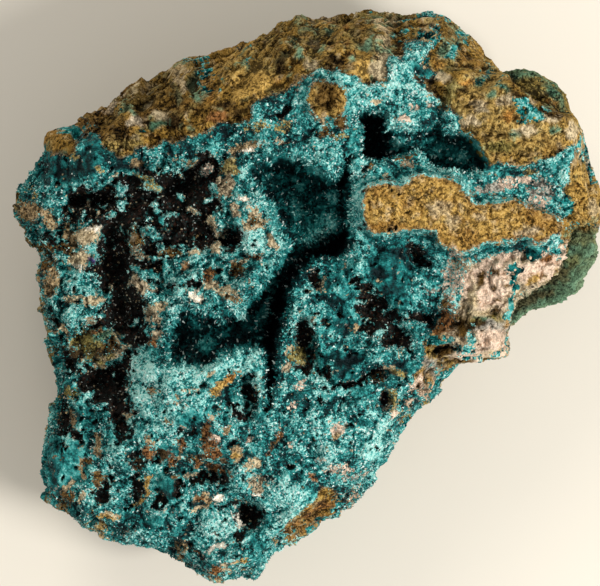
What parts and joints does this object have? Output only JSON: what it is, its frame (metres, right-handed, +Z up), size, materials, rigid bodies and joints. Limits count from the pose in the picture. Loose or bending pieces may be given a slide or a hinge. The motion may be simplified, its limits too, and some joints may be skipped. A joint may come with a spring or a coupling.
{
  "type": "mineral specimen",
  "caption": "Hand-sized block of brown host rock with a teal crystalline crust on its upper face and two hollows lined with darker crystals.",
  "frame": {"origin": "on the flat base, under the middle of the plan outline", "axes": "+Z up out of the crusted face, +X along the longest side, the brown ridge runs along the +Y side"},
  "size_m": [0.0746, 0.0731, 0.0385],
  "materials": {
    "host_rock": "rough brown to ochre limonite-stained rock, speckled tan and dark",
    "teal_crust": "felted pale aqua to deep teal bladed crystals with a pearly glint",
    "dark_teal_crystals": "dark teal glassy to pearly small crystals",
    "deep_teal_crystals": "very dark teal glassy small crystals"
  },
  "bodies": {
    "root": {"matrix": "host_rock", "tyrolite_crust": "teal_crust", "vug_druse": "dark_teal_crystals", "cavity_druse": "deep_teal_crystals"}
  },
  "joints": []
}
